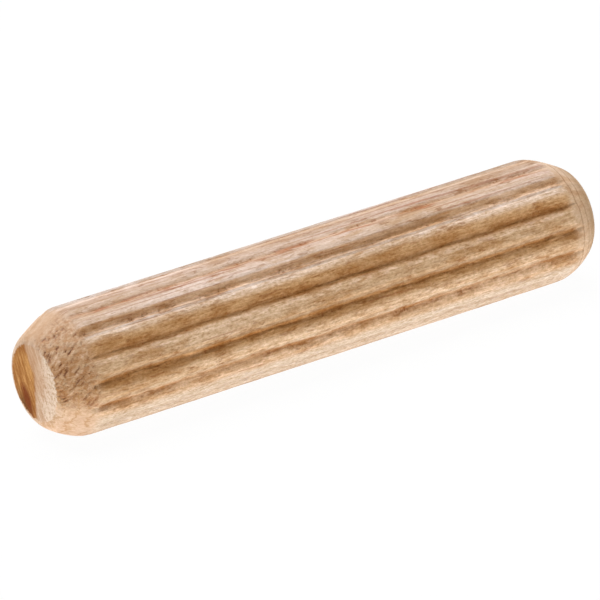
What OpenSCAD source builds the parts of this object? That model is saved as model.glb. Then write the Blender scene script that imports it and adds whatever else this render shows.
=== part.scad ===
// Fluted wooden dowel pin, lying along X with its middle at the origin.

/* [Pin] */
// Diameter over the ridge crests
pin_d = 8; // [6:0.5:16]
// Length from one end face to the other
pin_l = 40; // [25:1:80]

/* [Flutes] */
// Number of flutes pressed into the wood, evenly round the pin
flute_count = 15; // [12:1:24]
// Depth of a flute below the crests
flute_depth = 0.32; // [0.2:0.01:0.45]
// Radius of the rounded bottom of a flute
flute_root_r = 0.15; // [0.08:0.01:0.22]
// Height that the sizing die shaves off each ridge, leaving a narrow land
crest_shave = 0.02; // [0.01:0.005:0.04]

/* [Ends] */
// Diameter where the end face and the lead-in taper would meet
end_face_d = 5.4; // [3:0.1:5.6]
// Length of the lead-in taper at each end
taper_l = 2.6; // [1.5:0.1:5]
// Radius that breaks the edge of the end face
nose_r = 0.5; // [0.2:0.05:1]

/* [Hidden] */
$fn = 96;
wood_tan = "burlywood";

crest_r = pin_d / 2;
half_l = pin_l / 2;

// A ridge is one arc from flute to flute, tangent to the root arc on either side.
half_pitch = 180 / flute_count;
ridge_top_r = crest_r + crest_shave;
root_centre_r = crest_r - flute_depth + flute_root_r;
root_centre_x = root_centre_r * cos(half_pitch);
ridge_r = (ridge_top_r ^ 2 + root_centre_r ^ 2 - 2 * ridge_top_r * root_centre_x - flute_root_r ^ 2)
    / (2 * (ridge_top_r - root_centre_x + flute_root_r));
ridge_centre_r = ridge_top_r - ridge_r;

// Arcs that meet in a tangent run this far into each other, so that they share one clean edge.
arc_overlap = 0.0002;

// The end profile: flat face, nose arc, taper, body.
end_face_r = end_face_d / 2;
taper_angle = atan((crest_r - end_face_r) / taper_l);
nose_tangent = nose_r * tan((90 - taper_angle) / 2);

function polar(r, angle) = r * [cos(angle), sin(angle)];

// Section across the pin: ridges standing on a star whose outer points are the root centres.
// A flute lies on the -Y axis, so that the pin rests on the two ridges beside it.
module fluted_section() {
    rotate(half_pitch - 90) {
        difference() {
            polygon([
                for (i = [0:flute_count - 1])
                    each [
                        polar(ridge_centre_r, 2 * i * half_pitch),
                        polar(root_centre_r, (2 * i + 1) * half_pitch)
                    ]
            ]);
            for (i = [0:flute_count - 1])
                rotate((2 * i + 1) * half_pitch) translate([root_centre_r, 0]) circle(r = flute_root_r);
        }
        // Each ridge circle starts at its inner side, away from the crest.
        for (i = [0:flute_count - 1])
            rotate(2 * i * half_pitch) translate([ridge_centre_r, 0]) rotate(180) circle(r = ridge_r + arc_overlap);
    }
}

// The waste outside the nose arc, between the end face and the taper.
module nose_waste() {
    face_corner = [end_face_r, half_l];
    difference() {
        polygon([
            face_corner - [nose_tangent, 0],
            face_corner,
            face_corner + polar(nose_tangent, taper_angle - 90)
        ]);
        translate([end_face_r - nose_tangent, half_l - nose_r]) circle(r = nose_r + arc_overlap);
    }
}

// Outline of the pin turned down at its +Y end alone: x is the radius, y runs along the axis.
module turned_end() {
    difference() {
        polygon([
            [0, -half_l],
            [crest_r, -half_l],
            [crest_r, half_l - taper_l],
            [end_face_r, half_l],
            [0, half_l]
        ]);
        nose_waste();
    }
}

// The pin is sized and pointed by turning: a plain cylinder with a taper at each end.
module turned_envelope() {
    rotate_extrude()
        intersection() {
            turned_end();
            mirror([0, 1]) turned_end();
        }
}

module dowel_pin() {
    color(wood_tan)
        rotate([90, 0, 90])
            intersection() {
                linear_extrude(pin_l, center = true) fluted_section();
                turned_envelope();
            }
}

dowel_pin();
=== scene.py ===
import math

import bpy
from mathutils import Matrix, Vector


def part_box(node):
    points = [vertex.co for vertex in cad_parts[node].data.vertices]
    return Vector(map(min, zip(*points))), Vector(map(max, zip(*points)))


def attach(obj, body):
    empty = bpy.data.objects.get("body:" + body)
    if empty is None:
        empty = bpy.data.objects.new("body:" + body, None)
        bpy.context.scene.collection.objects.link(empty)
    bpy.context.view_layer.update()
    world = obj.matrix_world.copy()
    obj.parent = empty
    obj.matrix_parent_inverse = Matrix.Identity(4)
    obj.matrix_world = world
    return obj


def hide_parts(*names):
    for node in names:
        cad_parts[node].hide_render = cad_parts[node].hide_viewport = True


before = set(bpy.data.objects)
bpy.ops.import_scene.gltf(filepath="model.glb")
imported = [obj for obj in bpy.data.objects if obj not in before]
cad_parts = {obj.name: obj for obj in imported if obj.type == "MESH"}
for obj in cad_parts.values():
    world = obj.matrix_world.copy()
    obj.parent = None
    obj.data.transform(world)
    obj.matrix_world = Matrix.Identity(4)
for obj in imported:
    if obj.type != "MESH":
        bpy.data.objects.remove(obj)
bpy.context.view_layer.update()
pinLow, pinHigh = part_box("dowel_pin")
mm = 0.001  # the wood's and the pin's sizes below are in millimetres
viewHeight = math.radians(25.0)  # how far the camera stands above the pin, seen along the pin
print("frame loaded, pin is %.1f mm long" % ((pinHigh.x - pinLow.x) / mm))


class Wire:
    # one output socket of a node tree: sums on values add Math nodes
    def __init__(self, tree, socket=None):
        self.tree = tree
        self.socket = socket

    # any node: its type, its settings (set first), its sockets' values or links, and which output to take
    def add(self, kind, settings=None, sockets=None, out=0):
        node = self.tree.nodes.new(kind)
        for name, value in (settings or {}).items():
            setattr(node, name, value)
        for name, value in (sockets or {}).items():
            if isinstance(value, Wire):
                self.tree.links.new(value.socket, node.inputs[name])
            else:
                node.inputs[name].default_value = value
        return Wire(self.tree, node.outputs[out])

    def math(self, operation, *others):
        sockets = {0: self}
        for place, other in enumerate(others):
            sockets[place + 1] = other
        return self.add("ShaderNodeMath", {"operation": operation}, sockets)

    def __add__(self, other):
        return self.math("ADD", other)

    def __sub__(self, other):
        return self.math("SUBTRACT", other)

    def __mul__(self, other):
        return self.math("MULTIPLY", other)

    def __truediv__(self, other):
        return self.math("DIVIDE", other)

    def __pow__(self, other):
        return self.math("POWER", other)

    def __rsub__(self, other):
        return self.add("ShaderNodeMath", {"operation": "SUBTRACT"}, {0: other, 1: self})

    def __rtruediv__(self, other):
        return self.add("ShaderNodeMath", {"operation": "DIVIDE"}, {0: other, 1: self})

    __radd__ = __add__
    __rmul__ = __mul__

    # 0 at low, 1 at high, smooth between; low may be the larger of the two
    def step(self, low, high):
        sockets = {"Value": self, "From Min": low, "From Max": high}
        return self.add("ShaderNodeMapRange", {"interpolation_type": "SMOOTHSTEP"}, sockets)

    # straight 0 to 1 between low and high
    def ramp(self, low, high):
        return self.add("ShaderNodeMapRange", None, {"Value": self, "From Min": low, "From Max": high})

    # one part of a vector
    def part(self, axis):
        return self.add("ShaderNodeSeparateXYZ", None, {0: self}, out=axis)

    # noise on a vector that is first stretched, so that grain runs along the pin
    def noise(self, stretch, detail, rough, seed, distort=0.0):
        vector = self.add("ShaderNodeVectorMath", {"operation": "MULTIPLY"}, {0: self, 1: stretch})
        sockets = {"Vector": vector, "W": seed, "Scale": 1.0, "Detail": detail, "Roughness": rough,
                   "Distortion": distort}
        return self.add("ShaderNodeTexNoise", {"noise_dimensions": "4D"}, sockets)

    # mix two colours by this value
    def tint(self, colourA, colourB, blend="MIX"):
        settings = {"data_type": "RGBA", "blend_type": blend}
        return self.add("ShaderNodeMix", settings, {0: self, 6: colourA, 7: colourB}, out=2)


def srgb(red, green, blue):
    # a colour written as 0 to 255 values, made linear
    values = []
    for channel in (red, green, blue):
        c = channel / 255
        values.append(c / 12.92 if c <= 0.04045 else ((c + 0.055) / 1.055) ** 2.4)
    return (*values, 1.0)


# the left end face split when it was sawn: directions on that face, as (y, z), and places along them

splitEnd = {
    "toBurnished": (-math.cos(viewHeight), math.sin(viewHeight)),
    "toCorner": (-math.sin(viewHeight), -math.cos(viewHeight)),
    "leftFrom": (-15.0, -16.0),  # along the pin, where the left end begins
    "edge": 0.25,  # where the split stops, towards the burnished side
    "edgeFrom": -0.3,  # from here towards the knot, the edge leans back
    "edgeSlope": 0.55,
    "edgeWave": 0.7,
    "edgeFade": (0.32, -0.22),
    "wave": ((0.0, 1.1, 1.1), 3.0, 0.6, 41.0),  # noise: stretch, detail, roughness, seed
    # where the split's deep corner lies, whose shade is painted on
    "cornerShade": (-1.45, 0.78),
    "cornerStretch": (3.0, 0.45),
    "cornerWave": 0.6,
    "cornerFade": (0.95, 0.3),
}


def splitMasks(spot):
    # how far a point of the left end face lies on the split side, how far into the painted shade of its
    # deep corner, and its place
    along, across, up = [spot.part(axis) for axis in range(3)]
    nearY, nearZ = splitEnd["toBurnished"]
    downY, downZ = splitEnd["toCorner"]
    near = across * nearY + up * nearZ
    down = across * downY + up * downZ
    wave = spot.noise(*splitEnd["wave"]) - 0.5
    lean = (down - splitEnd["edgeFrom"]).math("MAXIMUM", 0.0) * splitEnd["edgeSlope"]
    edge = splitEnd["edge"] - lean
    left = along.step(*splitEnd["leftFrom"])
    split = (near - edge - wave * splitEnd["edgeWave"]).step(*splitEnd["edgeFade"]) * left
    # the deep corner's painted shade: a soft spot round its place
    cornerNear, cornerDown = splitEnd["cornerShade"]
    stretchNear, stretchDown = splitEnd["cornerStretch"]
    reach = ((near - cornerNear) ** 2.0 * stretchNear + (down - cornerDown) ** 2.0 * stretchDown).math("SQRT")
    cornerShade = (reach + wave * splitEnd["cornerWave"]).step(*splitEnd["cornerFade"]) * left
    return split, cornerShade, near, down, left


# beech of the pin: long grain and patches, flutes darkened by dust and painted shade, torn tapers, a split
# end, and painted light and shade in bands round the pin

beechLook = {
    "roughness": 0.7,
    "specular": 0.1,
    "taperCover": 0.88,
    "faceRagged": 1.6,  # how far flecks shift the edge of an end face
    "faceEdge": (0.35, 0.65),
    "faceReach": (0.02, 0.15),
    "tone": {"speck": 1.3, "fleck": 1.1, "fibre": 1.2},  # what makes the tone uneven, and how much
    "toneLeast": 0.3,
    "calmEnds": 0.55,  # how much calmer the tone is on the ends, and on the top
    "calmTop": 0.5,
    "warmth": (0.72, 1.4),  # powers of the tone in red and in blue: dark spots redden, light ones cool
    "height": {"grain": 0.5, "fibre": 0.6, "fleck": 0.9, "speck": 0.8},
    "bumpStrength": 0.6,
    "bumpHeight": 0.08,
    "colour": {
        "pale": srgb(224, 197, 172),
        "tan": srgb(204, 173, 142),
        "golden": srgb(177, 131, 81),
        "brown": srgb(140, 92, 50),
        "redLine": srgb(160, 100, 68),
        "redBrown": srgb(136, 78, 40),
        # colour of the dust and painted shade in the flutes
        "valley": srgb(150, 96, 44),
        # painted light: the pale of the underside where the floor lights it
        "paintedFloorLight": srgb(215, 206, 190),
        "endPale": srgb(212, 186, 161),
        "endBrown": srgb(180, 136, 98),
        "rim": srgb(170, 138, 104),
        "pit": srgb(122, 66, 38),
        # pale, for lifted fibres, the pale taper underside and a painted highlight on a ridge edge
        "liftedAndSheen": srgb(236, 206, 180),
        "splitPale": srgb(198, 146, 84),
        "splitBrown": srgb(142, 82, 24),
        "splitDark": srgb(96, 54, 16),
        "burnished": srgb(222, 200, 178),
        # painted shade of the split's deep corner
        "cornerShade": srgb(122, 56, 8),
        "warmShadeCast": (0.98, 0.92, 0.80, 1.0),  # casts are multiplied onto the colour under them; this one is a painted warm shade
        "bandCast": (0.79, 0.64, 0.44, 1.0),
        # painted sheen: a cool cast for the top
        "keySheenCast": (1.0, 1.06, 1.22, 1.0),
    },
    "side": {  # degrees above the front, cosine of the angle to it where it starts and is full
        "calmTop": (82, 0.80, 0.95),
        "redTop": (88, 0.6, 0.95),
        # painted sheen on the top, where the key lamp lights it
        "keySheenTop": (95, 0.45, 0.92),
        # painted warm shade on the front and on the back
        "warmShadeFront": (8, 0.74, 0.90),
        "warmShadeBack": (188, 0.35, 0.90),
        # painted shade in brown bands on the flanks near the front
        "frontShadeOuter": (20, 0.905, 0.950),
        "frontShadeInner": (18, 0.995, 0.980),
        # painted light on the underside
        "floorLightUnder": (-43, 0.955, 0.993),
        # a flute that keeps less of the dust and painted shade
        "paleFlute": (54, 0.95, 0.99),
        "markedRidge": (76, 0.9960, 0.9995),
        # painted highlight along one ridge's edge
        "ridgeSheen": (24, 0.9985, 0.9999),
        # where the taper's painted warm shade falls
        "taperFront": (12, 0.40, 0.93),
        "tornFront": (8, 0.72, 0.98),
        "taperTop": (80, 0.35, 0.90),
        "taperUnder": (-52, 0.70, 0.95),
        "taperStreaks": (-40, 0.30, 0.90),
        "taperCreases": (-40, 0.55, 0.85),
    },
    "longNoise": {  # stretch, detail, roughness, seed, distortion; these run straight on over the ends
        "broad": ((0.07, 0.55, 0.55), 3.0, 0.6, 3.0),
        "redLine": ((0.06, 2.6, 2.6), 3.0, 0.6, 17.0),
        "thinLine": ((0.06, 5.5, 5.5), 2.0, 0.55, 61.0),
    },
    "noise": {  # values in the same order; these are cut across at the ends
        "patch": ((0.42, 1.25, 1.25), 4.0, 0.62, 13.0, 0.3),
        "fleck": ((1.3, 4.4, 4.4), 3.0, 0.6, 19.0, 0.2),
        "grain": ((0.22, 5.0, 5.0), 3.0, 0.65, 7.0),
        "fibre": ((1.4, 12.0, 12.0), 2.0, 0.6, 11.0),
        "speck": ((4.2, 7.0, 7.0), 2.0, 0.7, 37.0),
        "mark": ((0.45, 1.7, 1.7), 3.0, 0.6, 53.0, 0.4),
        "stain": ((0.5, 2.2, 2.2), 3.0, 0.62, 43.0, 0.3),
        "nick": ((3.6, 2.0, 2.0), 2.0, 0.6, 47.0),
        "pore": ((2.2, 4.6, 4.6), 3.0, 0.65, 23.0, 0.4),
    },
}


def layer(colour, amount, cover, paint, blend="MIX"):
    # lays one of the wood's colours over what is there
    return (amount * cover).tint(colour, beechLook["colour"][paint], blend)


def patchy(noise, least, more):
    # a share that is never under the least, and grows with the noise up to 1
    return (least + more * noise).math("MINIMUM", 1.0)


sideLook = {
    "calm": 0.12,  # how much fainter patches and grain are on the calm top
    "redTopMore": 0.05,
    # how much of the painted warm shade the back gets
    "warmShadeBackShare": 0.7,
    "frontShadePatchy": (0.45, 1.1),  # the least of it, and how much more comes with the noise
    "paintedBandPatchy": (0.3, 1.3),
    "stainPatchy": (0.25, 0.75),
    "dustAndShade": (0.46, 1.3, 0.42),  # dust and painted shade in a middling patch, how much more in a strong one, that middle
    "dustAndShadeMost": 0.9,
    "dustAndShadeGone": 0.45,  # share that is gone from the pale flute
    "fluteRagged": 0.9,
    "paintedLightBands": (  # painted light and shade in strips along the pin: degrees above the front, cosine where it starts and is full, cast (above 1 is painted light, below 1 painted shade)
        (-48, 0.9950, 0.9990, (1.13, 1.13, 1.14, 1.0)),
        (-22, 0.9945, 0.9985, (1.13, 1.11, 1.09, 1.0)),
        (-13.5, 0.9975, 0.9997, (0.82, 0.87, 0.93, 1.0)),
        (5.5, 0.9985, 0.9998, (1.30, 1.28, 1.25, 1.0)),
        (9, 0.9989, 0.9998, (0.78, 0.82, 0.87, 1.0)),
        (50.5, 0.9984, 0.9998, (0.65, 0.68, 0.72, 1.0)),
        (54, 0.9988, 0.9998, (1.34, 1.30, 1.23, 1.0)),
        (58, 0.9980, 0.9998, (0.83, 0.66, 0.46, 1.0)),
        (73, 0.9985, 0.9998, (0.80, 0.75, 0.72, 1.0)),
        (89, 0.9955, 0.9990, (0.77, 0.71, 0.66, 1.0)),
        (109, 0.9890, 0.9992, (0.74, 0.77, 0.81, 1.0)),
    ),
    "cover": {  # how far each layer covers what is under it
        "patch": 0.62,
        "grain": 0.40,
        "fleck": 0.66,
        "redLine": 0.55,
        "thinLine": 0.5,
        "paintedFloorLight": 0.45,
        "mark": 0.55,
        "ridgeSheen": 0.30,
        "stain": 0.7,
        "nick": 0.65,
    },
    "level": {  # where in its noise, or in a flute, each layer starts and where it is full
        "broad": (0.36, 0.64),
        "patch": (0.46, 0.66),
        "grain": (0.48, 0.70),
        "fleck": (0.53, 0.64),
        "fleckPatch": (0.36, 0.60),
        "redLine": (0.62, 0.70),
        "thinLine": (0.57, 0.66),
        "flute": (0.0, 0.15),
        "mark": (0.53, 0.60),
        "ridgeSheen": (0.40, 0.55),
        "stain": (0.59, 0.66),
        "nick": (0.55, 0.68),
        "nickFlute": (0.1, 0.6),
        "nickPatch": (0.38, 0.58),
    },
}


def sideColour(mask, noise, side, toward):
    # long grain: broad pale and tan bands, brown patches, flecks and red lines
    paint = beechLook["colour"]
    cover = sideLook["cover"]
    level = sideLook["level"]
    patch = noise["patch"]
    fleck = noise["fleck"]
    calm = side["calmTop"] * sideLook["calm"]
    colour = noise["broad"].step(*level["broad"]).tint(paint["tan"], paint["pale"])
    colour = layer(colour, patch.step(*level["patch"]), cover["patch"] - calm, "golden")
    colour = layer(colour, noise["grain"].step(*level["grain"]), cover["grain"] - calm, "golden")
    brownFleck = fleck.step(*level["fleck"]) * patch.step(*level["fleckPatch"])
    colour = layer(colour, brownFleck, cover["fleck"], "brown")
    redLine = (noise["redLine"] + side["redTop"] * sideLook["redTopMore"]).step(*level["redLine"])
    colour = layer(colour, redLine, cover["redLine"], "redLine")
    thinLine = noise["thinLine"].step(*level["thinLine"]) * side["calmTop"]
    colour = layer(colour, thinLine, cover["thinLine"], "redLine")

    # painted light and shade: a warm painted shade on the front and the back, painted strips of light and
    # shade along the pin, a cool painted sheen on the top and pale painted light on the underside
    # painted warm shade on the front and the back
    golden = side["warmShadeFront"] + side["warmShadeBack"] * sideLook["warmShadeBackShare"]
    colour = golden.tint(colour, paint["warmShadeCast"], "MULTIPLY")
    # painted shade: brown bands on the flanks near the front
    brown = side["frontShadeOuter"] * side["frontShadeInner"] * patchy(patch, *sideLook["frontShadePatchy"])
    colour = brown.tint(colour, paint["bandCast"], "MULTIPLY")
    # painted light and shade in strips along the pin
    for degrees, fade, full, cast in sideLook["paintedLightBands"]:
        paintedBand = toward(degrees).step(fade, full) * patchy(patch, *sideLook["paintedBandPatchy"])
        colour = paintedBand.tint(colour, cast, "MULTIPLY")
    # painted sheen: a cool, pale cast on the top, kept out of the flutes
    colour = (side["keySheenTop"] * (1 - mask["valley"])).tint(colour, paint["keySheenCast"], "MULTIPLY")
    # painted light: the underside made paler
    colour = layer(colour, side["floorLightUnder"], cover["paintedFloorLight"], "paintedFloorLight")

    # flutes hold dust, and painted shade darkens them towards their bottoms
    ragged = (mask["valley"] + (fleck - 0.5) * sideLook["fluteRagged"]).ramp(0.0, 1.0)
    ragged = ragged * mask["valley"].step(*level["flute"])
    dustAndShade, dustAndShadeMore, middle = sideLook["dustAndShade"]
    dustyAndShaded = ragged * (1 - side["paleFlute"] * sideLook["dustAndShadeGone"]) * (dustAndShade + dustAndShadeMore * (patch - middle))
    dustyAndShaded = dustyAndShaded.math("MINIMUM", sideLook["dustAndShadeMost"]).math("MAXIMUM", 0.0)
    colour = dustyAndShaded.tint(colour, paint["valley"])

    # red marks on single ridges and a painted highlight along one ridge's edge, then stains, and nicks in
    # the flutes
    mark = noise["mark"].step(*level["mark"]) * side["markedRidge"]
    colour = layer(colour, mark, cover["mark"], "redLine")
    # painted highlight along one ridge's edge
    ridgeSheen = side["ridgeSheen"] * fleck.step(*level["ridgeSheen"])
    colour = layer(colour, ridgeSheen, cover["ridgeSheen"], "liftedAndSheen")
    stain = noise["stain"].step(*level["stain"]) * patchy(mask["valley"], *sideLook["stainPatchy"])
    colour = layer(colour, stain, cover["stain"], "brown")
    nick = noise["nick"].step(*level["nick"]) * mask["valley"].step(*level["nickFlute"])
    return layer(colour, nick * patch.step(*level["nickPatch"]), cover["nick"], "redBrown")


taperLook = {
    "porePatchy": (0.25, 0.75),  # the least of it, and how much more where the wood is torn
    "streakPatchy": (0.02, 0.36),
    "creasePitch": 0.8,
    "creaseWave": 2.2,
    "pitPatchy": 0.4,
    "ringPitch": 0.55,
    "ringWave": 0.4,
    "ringPatchy": (0.2, 0.7),
    "ringsFrom": (17.8, 18.3),  # along the pin, where the rings and the rim come in
    "rimFrom": (18.6, 19.4),
    "cover": {
        "patch": 0.5,
        "front": 0.7,
        "tornFront": 0.5,
        "top": 0.40,
        "under": 0.28,
        "crease": 0.7,
        "liftedAndSheen": 0.5,
        "pit": 0.85,
        "rim": 0.75,
    },
    "level": {
        "pore": (0.36, 0.62),
        "patch": (0.44, 0.64),
        "streak": (0.45, 0.62),
        "crease": (0.80, 1.0),
        "creasePatch": (0.30, 0.50),
        "liftedAndSheen": (0.46, 0.34),
        "pit": (0.52, 0.64),
        "ring": (0.7, 1.0),
    },
}


def taperColour(mask, noise, side, along, left):
    # end grain, with a painted warm shade in front, and browner where it is torn
    paint = beechLook["colour"]
    cover = taperLook["cover"]
    level = taperLook["level"]
    patch = noise["patch"]
    rough = mask["rough"]
    pore = noise["pore"].step(*level["pore"]) * patchy(rough, *taperLook["porePatchy"])
    colour = pore.tint(paint["endPale"], paint["endBrown"])
    colour = layer(colour, patch.step(*level["patch"]), cover["patch"], "endBrown")
    # painted warm shade on the front of the taper
    colour = layer(colour, side["taperFront"], cover["front"], "warmShadeCast", "MULTIPLY")
    colour = layer(colour, rough * side["tornFront"], cover["tornFront"], "bandCast", "MULTIPLY")

    # the left taper: brown on top, pale below with streaks and creases, torn fibres and pits in front
    colour = layer(colour, left * side["taperTop"], cover["top"], "endBrown")
    colour = layer(colour, left * side["taperUnder"], cover["under"], "liftedAndSheen")
    streak = patchy(noise["fleck"].step(*level["streak"]), *taperLook["streakPatchy"])
    colour = (left * side["taperStreaks"] * streak).tint(colour, paint["endBrown"])
    wavy = (along + (patch - 0.5) * taperLook["creaseWave"]) * (math.tau / taperLook["creasePitch"])
    crease = wavy.math("SINE").step(*level["crease"]) * left * side["taperCreases"]
    colour = layer(colour, crease * patch.step(*level["creasePatch"]), cover["crease"], "golden")
    colour = layer(colour, mask["torn"].step(*level["liftedAndSheen"]) * rough, cover["liftedAndSheen"], "liftedAndSheen")
    pit = (mask["torn"] + (patch - 0.5) * taperLook["pitPatchy"]).step(*level["pit"]) * rough
    colour = layer(colour, pit, cover["pit"], "pit")

    # the right taper: turning rings and a brown rim
    turned = (along + (noise["broad"] - 0.5) * taperLook["ringWave"]) * (math.tau / taperLook["ringPitch"])
    ring = turned.math("SINE").step(*level["ring"]) * along.step(*taperLook["ringsFrom"])
    colour = (ring * patchy(patch, *taperLook["ringPatchy"])).tint(colour, paint["brown"])
    return layer(colour, along.step(*taperLook["rimFrom"]), cover["rim"], "rim")


endFaceLook = {
    "streakStretch": (4.5, 0.6),  # towards the burnished side, and towards the shaded corner
    "streakSlice": 3.0,
    "streakNoise": ((1.0, 1.0, 1.0), 4.0, 0.62, 29.0, 0.2),
    "burnishedSlant": 0.5,
    "burnishedFrom": (0.5, 1.6),  # places are along the split end's two directions
    "burnishedPatchy": (0.3, 1.1),
    "warmNear": (2.3, 0.9),
    "warmDown": (1.6, -0.3),
    "warmLeast": 0.45,
    "warmMost": 0.9,
    "lowerFrom": (-0.4, 1.4),
    "upperFrom": (-1.5, -2.3),
    "rimDown": (-0.4, 1.0),
    "rimNear": (-1.1, -2.0),
    "cover": {
        "burnished": 0.85,
        "warm": 0.6,
        "sawn": 0.4,
        "splitStreak": 0.85,
        "splitLower": 0.5,
        "splitRim": 0.75,
        "splitUpper": 0.6,
        "cornerShade": 0.95,
    },
    "level": {
        "streak": (0.38, 0.66),
        "burnished": (0.40, 0.60),
        "splitStreak": (0.36, 0.62),
    },
}


def endFaceColour(noise, split, cornerShade, near, down, left):
    # streaks on both faces; the left one is burnished on one side and warm beside the split
    paint = beechLook["colour"]
    cover = endFaceLook["cover"]
    level = endFaceLook["level"]
    stretchNear, stretchDown = endFaceLook["streakStretch"]
    spot = near.add("ShaderNodeCombineXYZ", None,
                    {0: near * stretchNear, 1: down * stretchDown, 2: endFaceLook["streakSlice"]})
    streak = spot.noise(*endFaceLook["streakNoise"])
    colour = streak.step(*level["streak"]).tint(paint["endPale"], paint["endBrown"])
    polish = (near + down * endFaceLook["burnishedSlant"]).step(*endFaceLook["burnishedFrom"]) * left
    polish = polish * patchy(noise["fleck"].step(*level["burnished"]), *endFaceLook["burnishedPatchy"])
    colour = layer(colour, polish, cover["burnished"], "burnished")
    warm = near.step(*endFaceLook["warmNear"]) * down.step(*endFaceLook["warmDown"]) * left
    warm = warm * (endFaceLook["warmLeast"] + streak) * cover["warm"]
    colour = warm.math("MINIMUM", endFaceLook["warmMost"]).tint(colour, paint["endBrown"])
    colour = layer(colour, 1 - left, cover["sawn"], "endBrown")

    # the split is darker towards its rim and both its ends, and holds a dark spot of painted shade for a
    # deep corner, over a shallow dent
    torn = layer(paint["splitPale"], streak.step(*level["splitStreak"]), cover["splitStreak"], "splitBrown")
    torn = layer(torn, down.step(*endFaceLook["lowerFrom"]), cover["splitLower"], "splitBrown")
    rim = down.step(*endFaceLook["rimDown"]) * near.step(*endFaceLook["rimNear"])
    torn = layer(torn, rim, cover["splitRim"], "splitDark")
    torn = layer(torn, down.step(*endFaceLook["upperFrom"]), cover["splitUpper"], "splitBrown")
    colour = split.tint(colour, torn)
    # painted shade of the split's deep corner
    return layer(colour, cornerShade, cover["cornerShade"], "cornerShade")


def makeBeech():
    material = bpy.data.materials.new("beechWood")
    material.use_nodes = True
    tree = material.node_tree
    shader = tree.nodes["Principled BSDF"]
    start = Wire(tree)

    # where a point lies: in place, and on the straight rod that the pin was cut from
    place = start.add("ShaderNodeTexCoord", None, None, out="Object")
    place = place.add("ShaderNodeVectorMath", {"operation": "SCALE"}, {0: place, "Scale": 1 / mm})
    rod = start.add("ShaderNodeAttribute", {"attribute_name": "rod"}, None, out="Vector")
    rodY = rod.part(1)
    rodZ = rod.part(2)
    mask = {}
    for name in ("valley", "taper", "face", "torn", "rough"):
        mask[name] = start.add("ShaderNodeAttribute", {"attribute_name": name}, None, out="Fac")

    # cosine of the angle round the pin from here to a side, given in degrees above the front
    def toward(degrees):
        lean = math.radians(degrees)
        return rodY * (-math.cos(lean) / pin["crestRadius"]) + rodZ * (math.sin(lean) / pin["crestRadius"])

    side = {}
    for name, (degrees, fade, full) in beechLook["side"].items():
        side[name] = toward(degrees).step(fade, full)
    cut = (mask["face"] + mask["taper"]).math("MINIMUM", 1.0)  # the ends cut across the grain
    wood = start.add("ShaderNodeMix", {"data_type": "VECTOR"}, {0: cut, 4: rod, 5: place}, out=1)
    noise = {name: rod.noise(*values) for name, values in beechLook["longNoise"].items()}
    noise.update({name: wood.noise(*values) for name, values in beechLook["noise"].items()})

    split, cornerShade, near, down, left = splitMasks(place)
    colour = sideColour(mask, noise, side, toward)
    endGrain = taperColour(mask, noise, side, place.part(0), left)
    colour = (mask["taper"] * beechLook["taperCover"]).tint(colour, endGrain)
    ragged = (mask["face"] + (noise["fleck"] - 0.5) * beechLook["faceRagged"]).step(*beechLook["faceEdge"])
    ragged = ragged * mask["face"].step(*beechLook["faceReach"])
    colour = ragged.tint(colour, endFaceColour(noise, split, cornerShade, near, down, left))

    # fine unevenness in tone over all of it
    uneven = 0.0
    for name, share in beechLook["tone"].items():
        uneven = (noise[name] - 0.5) * share + uneven
    uneven = uneven * (1 - cut * beechLook["calmEnds"]) * (1 - side["calmTop"] * beechLook["calmTop"])
    tone = (1 + uneven).math("MAXIMUM", beechLook["toneLeast"])
    redPower, bluePower = beechLook["warmth"]
    tone = start.add("ShaderNodeCombineColor", None, {0: tone ** redPower, 1: tone, 2: tone ** bluePower})
    colour = start.add("ShaderNodeMix", {"data_type": "RGBA", "blend_type": "MULTIPLY"},
                       {0: 1.0, 6: colour, 7: tone}, out=2)
    height = 0.0
    for name, share in beechLook["height"].items():
        height = noise[name] * share + height
    bump = start.add("ShaderNodeBump", None, {"Height": height, "Strength": beechLook["bumpStrength"],
                                              "Distance": beechLook["bumpHeight"] * mm})

    shader.inputs["Roughness"].default_value = beechLook["roughness"]
    shader.inputs["Specular IOR Level"].default_value = beechLook["specular"]
    tree.links.new(colour.socket, shader.inputs["Base Color"])
    tree.links.new(bump.socket, shader.inputs["Normal"])
    return material


# the pin: one sheet of rings and ribs laid over the turned outline, with the flutes taken out of it

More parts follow.
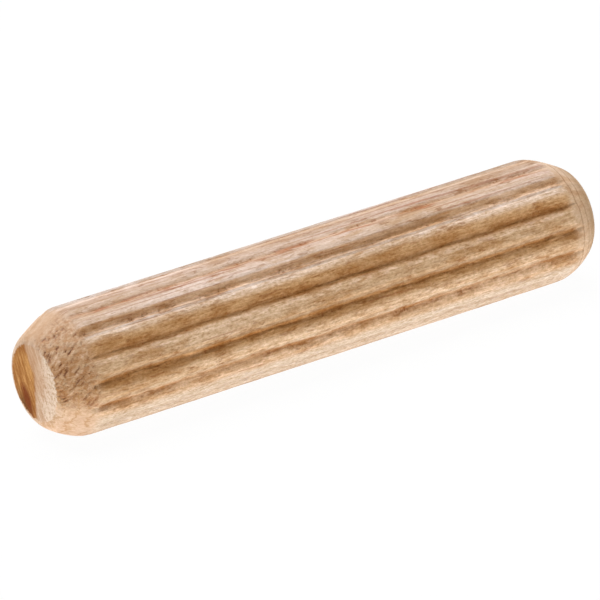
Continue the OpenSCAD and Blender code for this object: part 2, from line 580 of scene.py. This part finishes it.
pin = {
    "crestRadius": 4.0,
    "fluteCount": 15,
    "fluteDepth": 0.32,
    "rootRadius": 0.15,
    "crestShave": 0.02,
    "valleySoft": 1.2,  # degrees over which the bottom of a flute is rounded
    "crestSoft": 0.04,
    "faceRadius": 2.7,
    "taperLength": 2.6,
    "noseSoft": 0.9,
    "shoulderSoft": 0.5,
    "bulge": (0.12, 0.16),  # how far the left and right tapers stand out of a straight cone
    "bulgeLower": 0.09,  # and how much more so on the lower side
    "rightSag": 0.06,  # how far the right end was turned off centre, downwards
    "ribsPerFlute": 21,
    "ringsBody": 150,
    "ringsTaper": 50,
    "ringsFace": 20,
    "mergeDistance": 0.002,
    "seed": 4.0,
    "wander": ((0.09, 0.9, 0.9), 2.0, 0.5),  # noise: stretch, detail, roughness
    "wanderBy": 0.14,  # share of the flutes' pitch, as is rippleBy
    "ripple": ((0.55, 1.2, 1.2), 4.0, 0.7),
    "rippleBy": 0.42,
    "uneven": ((0.12, 0.5, 0.5), 2.0, 0.5),
    "unevenBy": 0.6,  # share of the depth
    # degrees above the front, and the share of that flute's depth that is gone
    "wornFlutes": ((-42.0, 0.75), (78.0, 0.35), (102.0, 0.6), (-66.0, 0.8)),
    "wornReach": (0.970, 0.9945),  # cosine of the angle to a worn flute where wear starts and is full
    "runOut": (0.02, 0.20),  # how softly a flute meets the outline, and how much more so on the tapers
    "runOutFrom": (0.0, 0.6),  # millimetres onto the taper
    "taperFrom": (0.0, 0.7),
    "valleyUntil": (0.7, 0.05),
    "faceFrom": (0.1, 0.5),  # millimetres onto the end face
    "valleyShade": ((3.6, 0.8, 0.65), (9.0, 2.0, 0.3)),  # degrees from the bottom: start, full; how dark
    "grain": ((0.4, 5.0, 5.0), 3.0, 0.55),
    "grainHeight": 0.06,
    "taperSmooth": 0.7,  # share of the grain's height that is gone on the tapers
    "torn": ((5.0, 0.8, 2.8), 3.0, 0.62),
    "tornTwist": 0.15,
    "tornNear": (0.4, 1.4),  # millimetres towards the burnished side
    "tornBelow": (0.80, 0.5),  # cosine of the angle to the shaded corner's direction, as is tornAbove
    "tornAbove": (-0.95, -0.72),
    "tornHeight": 0.12,
    "tearFrom": (0.54, 0.65),
    "tearDepth": 0.06,
    "splitDepth": 0.05,
    # depth of the shallow dent under the corner's painted shade
    "cornerDent": 0.02,
}
beech = makeBeech()
print("beech made")


def storeField(mesh, name, field, kind="FLOAT"):
    settings = {"data_type": kind, "domain": "POINT"}
    sockets = {"Geometry": mesh, "Name": name, "Value": field}
    return mesh.add("GeometryNodeStoreNamedAttribute", settings, sockets)


def readField(start, name, kind="FLOAT"):
    return start.add("GeometryNodeInputNamedAttribute", {"data_type": kind}, {"Name": name})


def buildPinTree():
    tree = bpy.data.node_groups.new("flutedPin", "GeometryNodeTree")
    sizes = {}
    for name in ("Half Length", "Crest Radius", "Flutes", "Face Radius", "Taper Length", "Nose", "Shoulder",
                 "Ridge Radius", "Ridge Centre", "Valley Soft", "Seed"):
        sizes[name] = tree.interface.new_socket(name=name, in_out="INPUT", socket_type="NodeSocketFloat")
    sizes["Wood"] = tree.interface.new_socket(name="Wood", in_out="INPUT", socket_type="NodeSocketMaterial")
    tree.interface.new_socket(name="Geometry", in_out="OUTPUT", socket_type="NodeSocketGeometry")
    source = tree.nodes.new("NodeGroupInput")
    size = {name: Wire(tree, source.outputs[name]) for name in sizes}
    start = Wire(tree)

    ringsHalf = pin["ringsBody"] / 2 + pin["ringsTaper"] + pin["ringsFace"]
    rings = int(2 * ringsHalf) + 1
    ribs = pin["fluteCount"] * pin["ribsPerFlute"] + 1
    grid = start.add("GeometryNodeMeshGrid", None,
                     {"Size X": 2.0, "Size Y": 1.0, "Vertices X": rings, "Vertices Y": ribs})
    spot = start.add("GeometryNodeInputPosition")
    turn = spot.part(1)
    side = spot.part(0).math("SIGN")
    reach = spot.part(0).math("ABSOLUTE")  # 0 at the middle of the pin, 1 at the centre of an end face

    # distance walked along the outline, in millimetres, with more rings where the ends are rough
    bodyShare = pin["ringsBody"] / 2 / ringsHalf
    taperShare = bodyShare + pin["ringsTaper"] / ringsHalf
    slope = ((size["Crest Radius"] - size["Face Radius"]) / size["Taper Length"]).math("ARCTANGENT")
    slopeCos = slope.math("COSINE")
    slopeSin = slope.math("SINE")
    bodyLength = size["Half Length"] - size["Taper Length"]
    slant = size["Taper Length"] / slopeCos
    walked = (reach.ramp(0.0, bodyShare) * bodyLength + reach.ramp(bodyShare, taperShare) * slant
              + reach.ramp(taperShare, 1.0) * size["Face Radius"])
    onTaper = (walked - bodyLength).math("SMOOTH_MAX", 0.0, size["Shoulder"])
    onFace = (walked - bodyLength - slant).math("SMOOTH_MAX", 0.0, size["Nose"])
    axial = walked - onTaper * (1 - slopeCos) - onFace * slopeCos

    # the tapers bulge, and the right end sags
    angle = (turn + 0.25) * math.tau  # the sheet starts in the flute that points down
    aroundY = angle.math("COSINE")
    aroundZ = angle.math("SINE")
    lowerY, lowerZ = splitEnd["toCorner"]
    lower = aroundY * lowerY + aroundZ * lowerZ
    onSlant = ((walked - bodyLength) / slant).ramp(0.0, 1.0)
    isRight = side.math("MAXIMUM", 0.0)
    bulgeLeft, bulgeRight = pin["bulge"]
    bulge = bulgeLeft + (bulgeRight - bulgeLeft) * isRight + pin["bulgeLower"] * lower
    bulge = onSlant * (1 - onSlant) * 4.0 * bulge  # full in the middle of the taper
    outline = size["Crest Radius"] - onTaper * slopeSin - onFace * (1 - slopeSin) + bulge
    sag = onSlant ** 2.0 * lower * isRight * outline.ramp(0.0, pin["faceRadius"]) * pin["rightSag"]
    outline = (outline + sag).math("MAXIMUM", 0.0)

    # a flute never runs quite straight, nor quite even
    lengthwise = axial * side
    rodSpot = start.add("ShaderNodeCombineXYZ", None, {0: lengthwise, 1: aroundY * pin["crestRadius"],
                                                       2: aroundZ * pin["crestRadius"]})
    wander = (rodSpot.noise(*pin["wander"], size["Seed"]) - 0.5) * pin["wanderBy"]
    ripple = (rodSpot.noise(*pin["ripple"], size["Seed"] + 1.0) - 0.5) * pin["rippleBy"]
    flute = ((turn + 0.5) * size["Flutes"] + wander + ripple).math("FRACT")
    pitch = 360.0 / size["Flutes"]
    fromValley = (0.5 - (flute - 0.5).math("ABSOLUTE")) * pitch
    softValley = (fromValley ** 2.0 + size["Valley Soft"] ** 2.0).math("SQRT")
    tilt = (pitch * 0.5 - softValley).math("RADIANS")
    across = size["Ridge Centre"] * tilt.math("SINE")
    ridge = (size["Ridge Centre"] * tilt.math("COSINE")
             + (size["Ridge Radius"] ** 2.0 - across ** 2.0).math("MAXIMUM", 0.0).math("SQRT"))
    worn = 0.0
    for degrees, share in pin["wornFlutes"]:
        lean = math.radians(degrees)
        toFlute = aroundZ * math.sin(lean) - aroundY * math.cos(lean)
        worn = toFlute.step(*pin["wornReach"]) * share + worn
    uneven = (rodSpot.noise(*pin["uneven"], size["Seed"] + 5.0) - 0.5) * pin["unevenBy"]
    depth = (size["Crest Radius"] - ridge) * (1 - worn) * (1 + uneven)
    fluted = (size["Crest Radius"] - depth).math("SMOOTH_MIN", size["Crest Radius"], pin["crestSoft"])
    runOut, runOutMore = pin["runOut"]
    runOut = runOut + onTaper.step(*pin["runOutFrom"]) * runOutMore
    radius = outline.math("SMOOTH_MIN", fluted, runOut).math("MAXIMUM", 0.0)
    formedSpot = start.add("ShaderNodeCombineXYZ", None, {0: lengthwise, 1: radius * aroundY,
                                                          2: radius * aroundZ})

    # what the wood's colours need to know is kept on the mesh
    faceStart, faceFull = pin["faceFrom"]
    taper = onTaper.step(*pin["taperFrom"]) * onFace.step(faceFull, faceStart)
    face = onFace.step(faceStart, faceFull)
    # how far a flute's dust and painted shade reach
    valley = 0.0
    for fade, full, dark in pin["valleyShade"]:
        valley = fromValley.step(fade, full) * dark + valley
    valley = valley * (1 - worn) * onTaper.step(*pin["valleyUntil"])
    marked = storeField(grid, "rod", rodSpot, "FLOAT_VECTOR")
    for name, field in (("valley", valley), ("taper", taper), ("face", face)):
        marked = storeField(marked, name, field)
    formed = marked.add("GeometryNodeSetPosition", None, {"Geometry": marked, "Position": formedSpot})
    outward = formed.add("GeometryNodeFlipFaces", None, {"Mesh": formed})
    closed = outward.add("GeometryNodeMergeByDistance", None,
                         {"Geometry": outward, "Distance": pin["mergeDistance"]})

    # the surface itself: long grain all over, torn fibres on the left taper, a split end face
    rodHere = readField(start, "rod", "FLOAT_VECTOR")
    taperHere = readField(start, "taper")
    faceHere = readField(start, "face")
    split, cornerShade, near, down, left = splitMasks(start.add("GeometryNodeInputPosition"))
    fromAxis = (near ** 2.0 + down ** 2.0).math("SQRT")
    under = down / fromAxis.math("MAXIMUM", 0.1)  # the least keeps the centre from a division by 0
    rough = taperHere * left * under.step(*pin["tornBelow"]) * under.step(*pin["tornAbove"])
    rough = rough * near.step(*pin["tornNear"])
    grain = rodHere.noise(*pin["grain"], size["Seed"] + 2.0) - 0.5
    rodX, rodY, rodZ = [rodHere.part(axis) for axis in range(3)]
    slanted = start.add("ShaderNodeCombineXYZ", None, {0: rodX - rodZ, 1: rodX + rodZ, 2: rodY})
    torn = slanted.noise(*pin["torn"], size["Seed"] + 3.0, pin["tornTwist"])  # fibres tear at a slant
    lift = (grain * pin["grainHeight"] * (1 - faceHere) * (1 - taperHere * pin["taperSmooth"])
            - (torn - 0.5) * pin["tornHeight"] * rough
            - torn.step(*pin["tearFrom"]) * rough * pin["tearDepth"]
            - (split * pin["splitDepth"] + cornerShade * pin["cornerDent"]) * faceHere)
    normal = start.add("GeometryNodeInputNormal")
    offset = normal.add("ShaderNodeVectorMath", {"operation": "SCALE"}, {0: normal, "Scale": lift})
    carved = closed.add("GeometryNodeSetPosition", None, {"Geometry": closed, "Offset": offset})
    for name, field in (("torn", torn), ("rough", rough)):
        carved = storeField(carved, name, field)
    scaled = carved.add("GeometryNodeTransform", None, {"Geometry": carved, "Scale": (mm, mm, mm)})
    smooth = scaled.add("GeometryNodeSetShadeSmooth", None, {"Geometry": scaled})
    real = smooth.add("GeometryNodeRealizeInstances", None, {"Geometry": smooth})
    done = real.add("GeometryNodeSetMaterial", None, {"Geometry": real, "Material": size["Wood"]})
    sink = tree.nodes.new("NodeGroupOutput")
    tree.links.new(done.socket, sink.inputs[0])
    return tree, sizes


def makePin():
    tree, sizes = buildPinTree()
    # a ridge is one arc from flute to flute, tangent to the root arc on either side
    halfPitch = math.pi / pin["fluteCount"]
    ridgeTop = pin["crestRadius"] + pin["crestShave"]
    rootCentre = pin["crestRadius"] - pin["fluteDepth"] + pin["rootRadius"]
    rootAcross = rootCentre * math.cos(halfPitch)
    ridgeRadius = ((ridgeTop ** 2 + rootCentre ** 2 - 2 * ridgeTop * rootAcross - pin["rootRadius"] ** 2)
                   / (2 * (ridgeTop - rootAcross + pin["rootRadius"])))
    values = {
        "Half Length": (pinHigh.x - pinLow.x) / 2 / mm,
        "Crest Radius": pin["crestRadius"],
        "Flutes": float(pin["fluteCount"]),
        "Face Radius": pin["faceRadius"],
        "Taper Length": pin["taperLength"],
        "Nose": pin["noseSoft"],
        "Shoulder": pin["shoulderSoft"],
        "Ridge Radius": ridgeRadius,
        "Ridge Centre": ridgeTop - ridgeRadius,
        "Valley Soft": pin["valleySoft"],
        "Seed": pin["seed"],
        "Wood": beech,
    }
    shell = bpy.data.objects.new("pinShell", bpy.data.meshes.new("pinShell"))
    bpy.context.scene.collection.objects.link(shell)
    modifier = shell.modifiers.new("flutedPin", "NODES")
    modifier.node_group = tree
    for name, value in values.items():
        modifier[sizes[name].identifier] = value
    graph = bpy.context.evaluated_depsgraph_get()
    mesh = bpy.data.meshes.new_from_object(shell.evaluated_get(graph))
    bpy.data.objects.remove(shell)
    piece = bpy.data.objects.new("dowelPin", mesh)
    bpy.context.scene.collection.objects.link(piece)
    return piece


dowelPin = makePin()
dowelPin.data.calc_loop_triangles()
print("pin made, %d triangles" % len(dowelPin.data.loop_triangles))
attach(dowelPin, "root")
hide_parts("dowel_pin")

# camera at the photo's angle: the near end is on the left, and the pin climbs to the right

photo = {
    "size": 600,
    "pinCentre": (307.5, 295.1),  # pixels
    "pixelsPerMillimetre": 16.36,
    "axisToSight": 59.5,  # degrees between the pin and the line of sight
    "axisInPicture": 17.82,  # degrees that the pin climbs in the picture
    "distance": 506.0,  # millimetres, as is the sensor's width
    "sensorWidth": 36.0,
    "clipStart": 0.01,  # metres
}


def makeCamera():
    away = math.radians(photo["axisToSight"])
    across = math.sin(away)
    toCamera = Vector((-math.cos(away), -across * math.cos(viewHeight), across * math.sin(viewHeight)))
    level = (Vector((1, 0, 0)) - toCamera * toCamera.x).normalized()  # the pin as the picture sees it
    rise = toCamera.cross(level)
    climb = math.radians(photo["axisInPicture"])
    right = level * math.cos(climb) - rise * math.sin(climb)
    up = level * math.sin(climb) + rise * math.cos(climb)
    data = bpy.data.cameras.new("photoCamera")
    data.sensor_width = photo["sensorWidth"]
    focal = photo["pixelsPerMillimetre"] * photo["distance"]  # pixels
    data.lens = focal / photo["size"] * data.sensor_width
    data.shift_x = (photo["size"] / 2 - photo["pinCentre"][0]) / photo["size"]
    data.shift_y = (photo["pinCentre"][1] - photo["size"] / 2) / photo["size"]
    data.clip_start = photo["clipStart"]
    camera = bpy.data.objects.new("photoCamera", data)
    turn = Matrix((right, up, toCamera)).transposed().to_4x4()
    camera.matrix_world = Matrix.Translation(toCamera * photo["distance"] * mm) @ turn
    bpy.context.scene.collection.objects.link(camera)
    bpy.context.scene.camera = camera


makeCamera()
print("camera set")

# white floor and soft light: the floor's glow lights the underside, the key lamp stands above and behind

studio = {  # in metres and watts
    "white": (1.0, 1.0, 1.0, 1.0),
    "floorColour": (0.9, 0.9, 0.9, 1.0),
    "floorGlow": 0.87,
    "floorWhite": 0.97,  # share of plain white that the camera sees, the rest takes the shadow
    "floorReach": 2.0,
    "skyStrength": 0.02,
    "keyWatts": 4.5,
    "keyPlace": (0.0, 0.129, 0.483),
    "lampSize": 0.5,
}


def backdropRays(start):
    # 1 for the rays that show the backdrop: the camera's own, mirrored ones and those let through
    names = ("Is Camera Ray", "Is Glossy Ray", "Is Transmission Ray")
    camera, glossy, through = [start.add("ShaderNodeLightPath", None, None, out=name) for name in names]
    return (camera + glossy + through).math("MINIMUM", 1.0)


def makeFloor():
    mesh = bpy.data.meshes.new("studioFloor")
    reach = studio["floorReach"]
    corners = [(x * reach, y * reach, pinLow.z) for x, y in ((-1, -1), (1, -1), (1, 1), (-1, 1))]
    mesh.from_pydata(corners, [], [(0, 1, 2, 3)])
    floor = bpy.data.objects.new("studioFloor", mesh)
    bpy.context.scene.collection.objects.link(floor)
    material = bpy.data.materials.new("floorWhite")
    material.use_nodes = True
    tree = material.node_tree
    shader = tree.nodes["Principled BSDF"]
    shader.inputs["Base Color"].default_value = studio["floorColour"]
    shader.inputs["Roughness"].default_value = 1.0
    shader.inputs["Specular IOR Level"].default_value = 0.0
    shader.inputs["Emission Color"].default_value = studio["white"]
    shader.inputs["Emission Strength"].default_value = studio["floorGlow"]
    start = Wire(tree)
    plain = start.add("ShaderNodeEmission", None, {"Color": studio["white"], "Strength": 1.0})
    shaded = start.add("ShaderNodeBsdfDiffuse", None, {"Color": studio["floorColour"]})
    shown = start.add("ShaderNodeMixShader", None, {0: studio["floorWhite"], 1: shaded, 2: plain})
    glowing = Wire(tree, shader.outputs[0])
    mixed = start.add("ShaderNodeMixShader", None, {0: backdropRays(start), 1: glowing, 2: shown})
    tree.links.new(mixed.socket, tree.nodes["Material Output"].inputs["Surface"])
    mesh.materials.append(material)


def makeLight():
    world = bpy.data.worlds.new("studioSky")
    bpy.context.scene.world = world
    world.use_nodes = True
    tree = world.node_tree
    start = Wire(tree)
    white = studio["white"]
    dim = start.add("ShaderNodeBackground", None, {"Color": white, "Strength": studio["skyStrength"]})
    plain = start.add("ShaderNodeBackground", None, {"Color": white, "Strength": 1.0})
    mixed = start.add("ShaderNodeMixShader", None, {0: backdropRays(start), 1: dim, 2: plain})
    tree.links.new(mixed.socket, tree.nodes["World Output"].inputs["Surface"])
    data = bpy.data.lights.new("keyLamp", "AREA")
    data.size = studio["lampSize"]
    data.energy = studio["keyWatts"]
    lamp = bpy.data.objects.new("keyLamp", data)
    place = Vector(studio["keyPlace"])
    lamp.matrix_world = Matrix.Translation(place) @ place.to_track_quat("Z", "Y").to_matrix().to_4x4()
    bpy.context.scene.collection.objects.link(lamp)


makeFloor()
makeLight()
bpy.context.scene.view_settings.view_transform = "Standard"
print("studio set")
